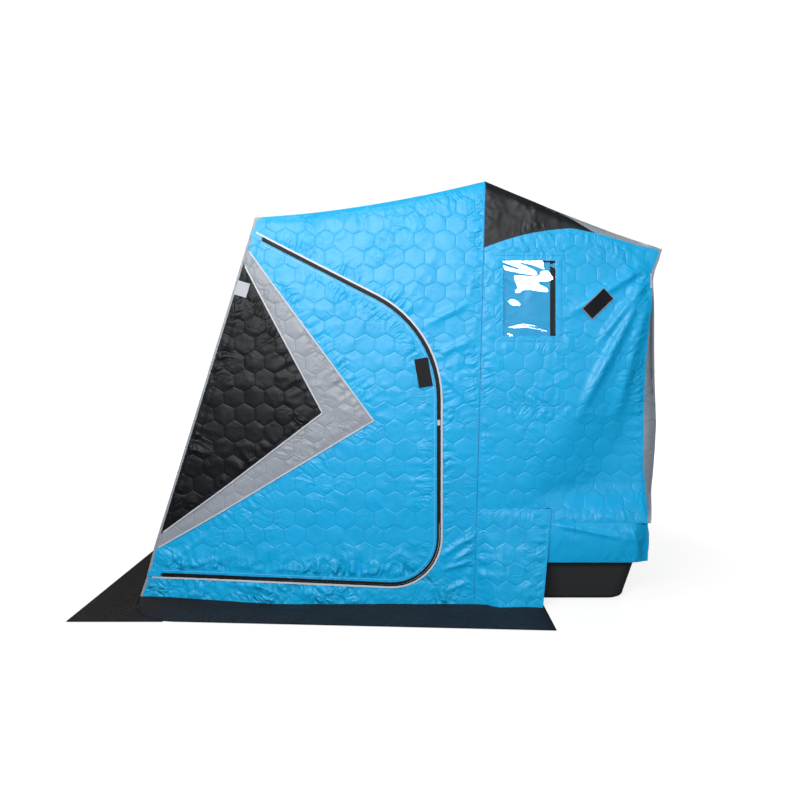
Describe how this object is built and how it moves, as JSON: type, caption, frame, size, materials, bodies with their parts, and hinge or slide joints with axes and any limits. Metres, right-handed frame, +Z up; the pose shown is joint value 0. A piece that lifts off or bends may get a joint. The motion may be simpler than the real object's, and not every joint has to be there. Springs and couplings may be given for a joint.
{
  "type": "ice fishing hut",
  "caption": "Flip-over ice fishing hut: quilted cloth tent with zipped side doors and clear windows, stretched on tube bows over a moulded sled, with skirts on the ice.",
  "frame": {"origin": "centre of the bounding box's bottom, on the ice", "axes": "+X to the sled end (rear), +Y to the right side, +Z up; the picture shows the left side, seen along +Y"},
  "size_m": [2.492, 2.372, 1.845],
  "materials": {
    "blue_quilt": "quilted insulated cloth, satin",
    "grey_quilt": "quilted insulated cloth, satin",
    "black_quilt": "quilted insulated cloth, satin",
    "blue_cloth": "coated plain cloth",
    "black_cloth": "coated plain cloth",
    "grey_cord": "woven piping",
    "clear_vinyl": "clear flexible sheet",
    "sled_plastic": "moulded polyethylene",
    "frame_tube": "satin tube",
    "frame_steel": "black powder coat"
  },
  "bodies": {
    "shelter": {"left_door_piping": "grey_cord", "left_wall_over_door": "blue_quilt", "left_wall_post": "blue_quilt", "left_wall_sill": "blue_quilt", "left_wall_rear": "blue_quilt", "left_roof_corner": "black_cloth", "left_window_pane": "clear_vinyl", "left_window_cover": "blue_cloth", "left_flap": "blue_quilt", "left_band": "blue_cloth", "left_skirt": "black_cloth", "right_door_piping": "grey_cord", "right_wall_over_door": "blue_quilt", "right_wall_post": "blue_quilt", "right_wall_sill": "blue_quilt", "right_wall_rear": "blue_quilt", "right_roof_corner": "black_cloth", "right_window_pane": "clear_vinyl", "right_window_cover": "blue_cloth", "right_flap": "blue_quilt", "right_band": "blue_cloth", "right_skirt": "black_cloth", "front_wall": "grey_quilt", "front_skirt": "black_cloth", "roof_front": "grey_quilt", "roof_rear": "grey_quilt", "rear_wall": "grey_quilt", "rear_band": "blue_cloth", "sled_tub": "sled_plastic", "left_pivot_bracket": "frame_steel", "right_pivot_bracket": "frame_steel", "front_bow": "frame_tube", "ground_bar": "frame_tube", "ridge_bow": "frame_tube", "rear_bow": "frame_tube", "left_roof_rail": "frame_tube", "right_roof_rail": "frame_tube"},
    "left_door": {"left_door": "blue_quilt", "left_door_chevron": "grey_quilt", "left_door_front": "black_quilt"},
    "right_door": {"right_door": "blue_quilt", "right_door_chevron": "grey_quilt", "right_door_front": "black_quilt"}
  },
  "joints": [
    {"name": "left_door_hinge", "type": "hinge", "parent": "shelter", "child": "left_door", "pos_m": [-0.77576, -0.85, 0.76523], "axis": [-0.282, 0, -0.9594], "range_deg": [0, 115]},
    {"name": "right_door_hinge", "type": "hinge", "parent": "shelter", "child": "right_door", "pos_m": [-0.77576, 0.85, 0.76523], "axis": [0.282, 0, 0.9594], "range_deg": [0, 115]}
  ]
}
